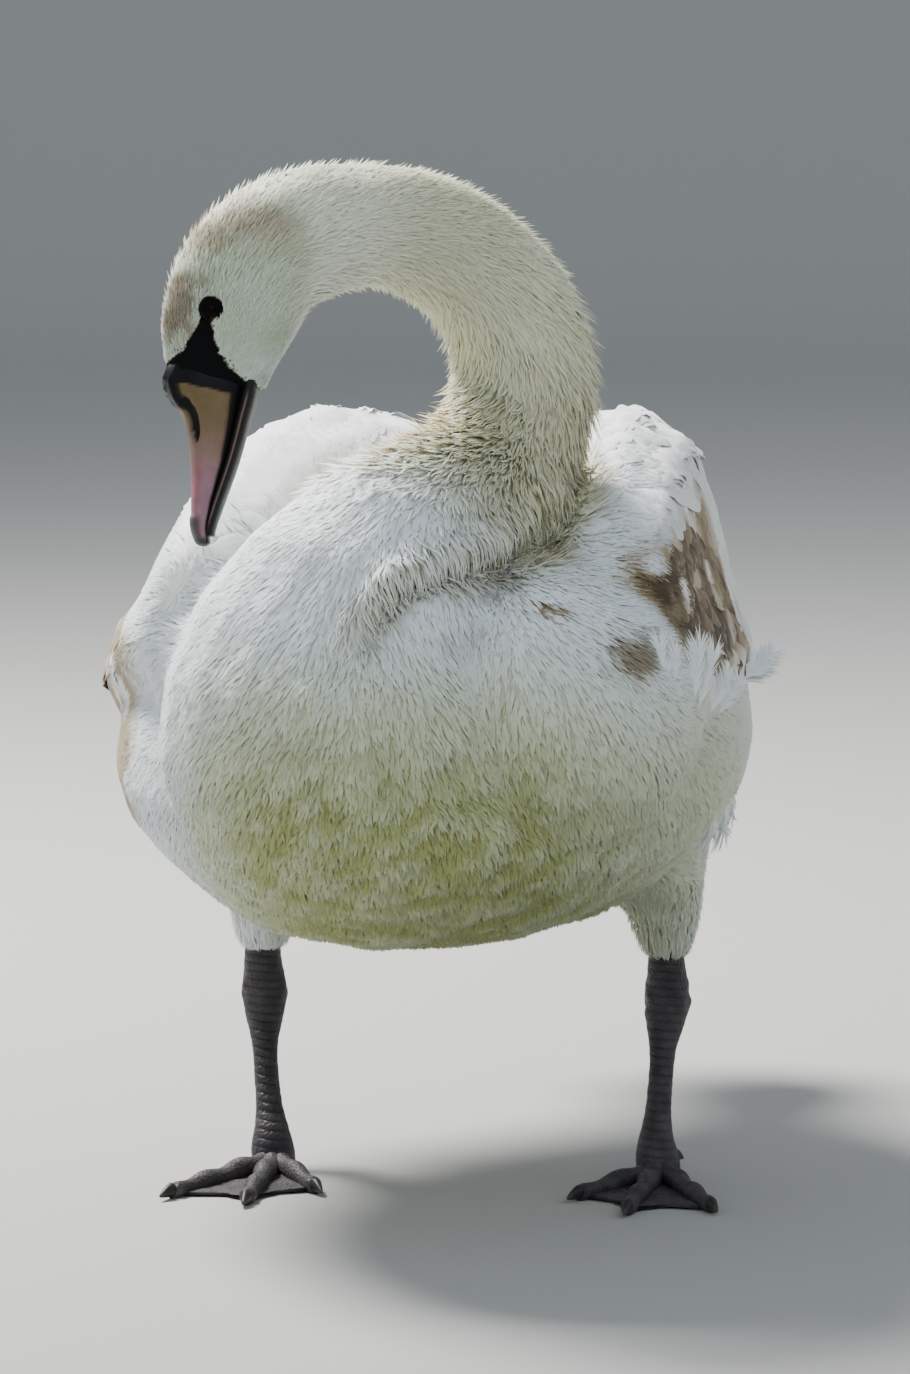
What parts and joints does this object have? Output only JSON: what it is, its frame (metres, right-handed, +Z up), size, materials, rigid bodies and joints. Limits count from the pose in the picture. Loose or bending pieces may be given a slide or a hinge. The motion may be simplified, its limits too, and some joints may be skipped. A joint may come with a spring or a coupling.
{
  "type": "mute swan",
  "caption": "Life-size mute swan standing on both webbed feet, wings folded, its neck arched over to its right and its bill pointing down.",
  "frame": {"origin": "centre of the bounding box at floor level, under the soles", "axes": "+Z up, +Y along the body towards the tail, +X to the bird's left"},
  "size_m": [0.3342, 0.7128, 0.5312],
  "materials": {
    "feathers_white": "soft matt feathers, white with a cream and olive stain low on the neck and breast",
    "feathers_brown": "matt flight feathers, taupe with pale edges",
    "bill_horn": "satin horn, ochre at the base to mauve pink",
    "bill_edge": "satin black horn",
    "eye": "wet gloss, near black",
    "leg_skin": "dry scaly skin, purplish grey",
    "claw_horn": "satin dark horn"
  },
  "bodies": {
    "root": {"trunk": "feathers_white", "neck_lower": "feathers_white", "neck_middle": "feathers_white", "neck_upper": "feathers_white", "head": "feathers_white", "wing_left": "feathers_white", "wing_right": "feathers_white", "tail": "feathers_white", "thigh_left": "feathers_white", "thigh_right": "feathers_white", "primaries_left": "feathers_brown", "primaries_right": "feathers_brown", "bill_upper": "bill_horn", "bill_lower": "bill_edge", "eye_left": "eye", "eye_right": "eye", "shank_left": "leg_skin", "shank_right": "leg_skin", "foot_left": "leg_skin", "foot_right": "leg_skin", "claw_left_1": "claw_horn", "claw_left_2": "claw_horn", "claw_left_3": "claw_horn", "claw_left_hind": "claw_horn", "claw_right_1": "claw_horn", "claw_right_2": "claw_horn", "claw_right_3": "claw_horn", "claw_right_hind": "claw_horn"}
  },
  "joints": []
}
